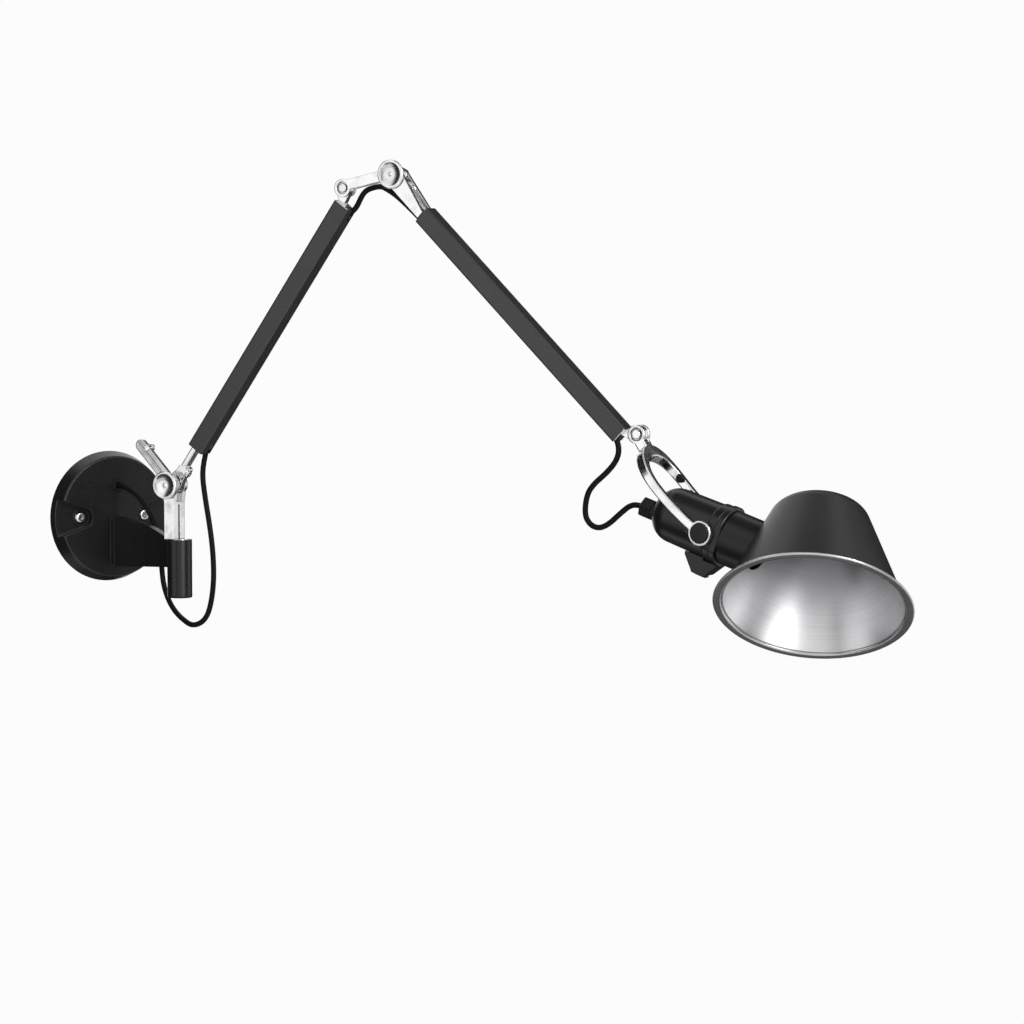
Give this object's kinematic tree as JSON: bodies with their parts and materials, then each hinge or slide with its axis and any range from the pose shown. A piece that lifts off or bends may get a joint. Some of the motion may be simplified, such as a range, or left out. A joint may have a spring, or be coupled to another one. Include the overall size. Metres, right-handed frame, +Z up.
{
  "type": "articulating wall lamp",
  "caption": "Wall lamp on a round plate: swivelling fork, two jointed square-tube arms, a U yoke, a tilting lampholder and a truncated-cone shade that turns about its neck.",
  "frame": {"origin": "centre of the wall plate's back face, where it meets the wall", "axes": "+Y into the wall, -Y out to the room, +Z up, +X to the right of somebody who faces the wall; the arms lie in an upright plane 64 degrees from +X towards -Y"},
  "size_m": [0.328, 0.6516, 0.3451],
  "materials": {
    "black_paint": "satin black powder coat",
    "graphite_paint": "satin graphite",
    "black_plastic": "matte black",
    "polished_aluminium": "polished",
    "satin_aluminium": "satin",
    "chrome": "bright",
    "bare_steel": "zinc plated",
    "brass": "plain",
    "cord_rubber": "smooth black"
  },
  "bodies": {
    "wall_mount": {"wall_plate": "black_paint", "wall_strap": "bare_steel", "cover_screws": "chrome", "cord_grommet": "cord_rubber", "cord_clamp": "black_plastic", "terminal_block": "black_plastic", "terminal_screws": "brass", "wall_bracket": "black_paint", "bracket_screws": "bare_steel", "sleeve_bushes": "black_plastic", "sleeve_cap": "black_plastic", "cord_plate_to_swivel": "cord_rubber"},
    "swivel": {"swivel_fork": "polished_aluminium", "spigot_clip": "bare_steel", "tension_lever": "polished_aluminium", "lever_anchor_pin": "chrome", "shoulder_bolt": "chrome", "shoulder_cap": "chrome", "cord_swivel_to_arm": "cord_rubber"},
    "lower_arm": {"shoulder_washers": "black_plastic", "lower_fork": "polished_aluminium", "knuckle_screw": "chrome", "lower_tube": "graphite_paint", "lower_tongue": "polished_aluminium", "lower_balance_spring": "bare_steel", "cord_in_lower_tube": "cord_rubber", "cord_elbow_lower": "cord_rubber"},
    "link": {"elbow_link": "polished_aluminium", "link_pin": "chrome", "elbow_bolt": "chrome", "elbow_cap": "chrome", "elbow_washers": "black_plastic", "cord_elbow_upper": "cord_rubber"},
    "upper_arm": {"upper_fork": "polished_aluminium", "tension_rod": "chrome", "upper_tube": "graphite_paint", "upper_tongue": "polished_aluminium", "upper_balance_spring": "bare_steel", "cord_in_upper_tube": "cord_rubber", "cord_wrist_arm": "cord_rubber"},
    "yoke": {"yoke": "polished_aluminium", "yoke_pin": "chrome", "yoke_bumper": "cord_rubber", "tilt_caps": "black_plastic", "cord_wrist_head": "cord_rubber"},
    "lampholder": {"lampholder_cover": "black_paint", "lampholder_collar": "black_paint", "tilt_studs": "chrome", "lamp_socket": "black_plastic", "socket_shell": "brass", "socket_contact": "brass", "switch_case": "black_paint", "cord_gland": "black_plastic", "gland_nut": "black_plastic", "cord_in_lampholder": "cord_rubber"},
    "shade": {"neck": "black_paint", "shade": "black_paint", "reflector_liner": "satin_aluminium", "shade_rim": "satin_aluminium"},
    "button": {"switch_button": "black_plastic"}
  },
  "joints": [
    {"name": "base_swivel", "type": "hinge", "parent": "wall_mount", "child": "swivel", "pos_m": [0, -0.1116, 0], "axis": [0, 0, 1], "range_deg": [-115, 60], "deforming": ["cord_plate_to_swivel"]},
    {"name": "shoulder_tilt", "type": "hinge", "parent": "swivel", "child": "lower_arm", "pos_m": [-0.00202, -0.10747, 0.0296], "axis": [-0.8988, -0.4384, 0], "range_deg": [-44, 42], "deforming": ["cord_swivel_to_arm"]},
    {"name": "elbow_link_pivot", "type": "hinge", "parent": "lower_arm", "child": "link", "pos_m": [0.06434, -0.24352, 0.24814], "axis": [-0.8988, -0.4384, 0], "range_deg": [-30, 60], "deforming": ["cord_elbow_lower"]},
    {"name": "elbow_main_pivot", "type": "hinge", "parent": "link", "child": "upper_arm", "pos_m": [0.08356, -0.28292, 0.25737], "axis": [-0.8988, -0.4384, 0], "range_deg": [-40, 80], "deforming": ["cord_elbow_upper"]},
    {"name": "wrist_pivot", "type": "hinge", "parent": "upper_arm", "child": "yoke", "pos_m": [0.16891, -0.45792, 0.07638], "axis": [-0.8988, -0.4384, 0], "range_deg": [-40, 90], "deforming": ["cord_wrist_arm"]},
    {"name": "head_tilt", "type": "hinge", "parent": "yoke", "child": "lampholder", "pos_m": [0.19458, -0.51055, 0.01136], "axis": [-0.8988, -0.4384, 0], "range_deg": [-60, 75], "deforming": ["cord_wrist_head"]},
    {"name": "shade_turn", "type": "hinge", "parent": "lampholder", "child": "shade", "pos_m": [0.20289, -0.52758, 0.00498], "axis": [0.4155, -0.8518, -0.319], "range_deg": [-45, 125]},
    {"name": "switch_press", "type": "slide", "parent": "lampholder", "child": "button", "axis": [0.1398, -0.2867, 0.9478], "range_m": [0, 0.0012], "stiffness_N_per_m": 500, "springref_m": -0.0005}
  ]
}
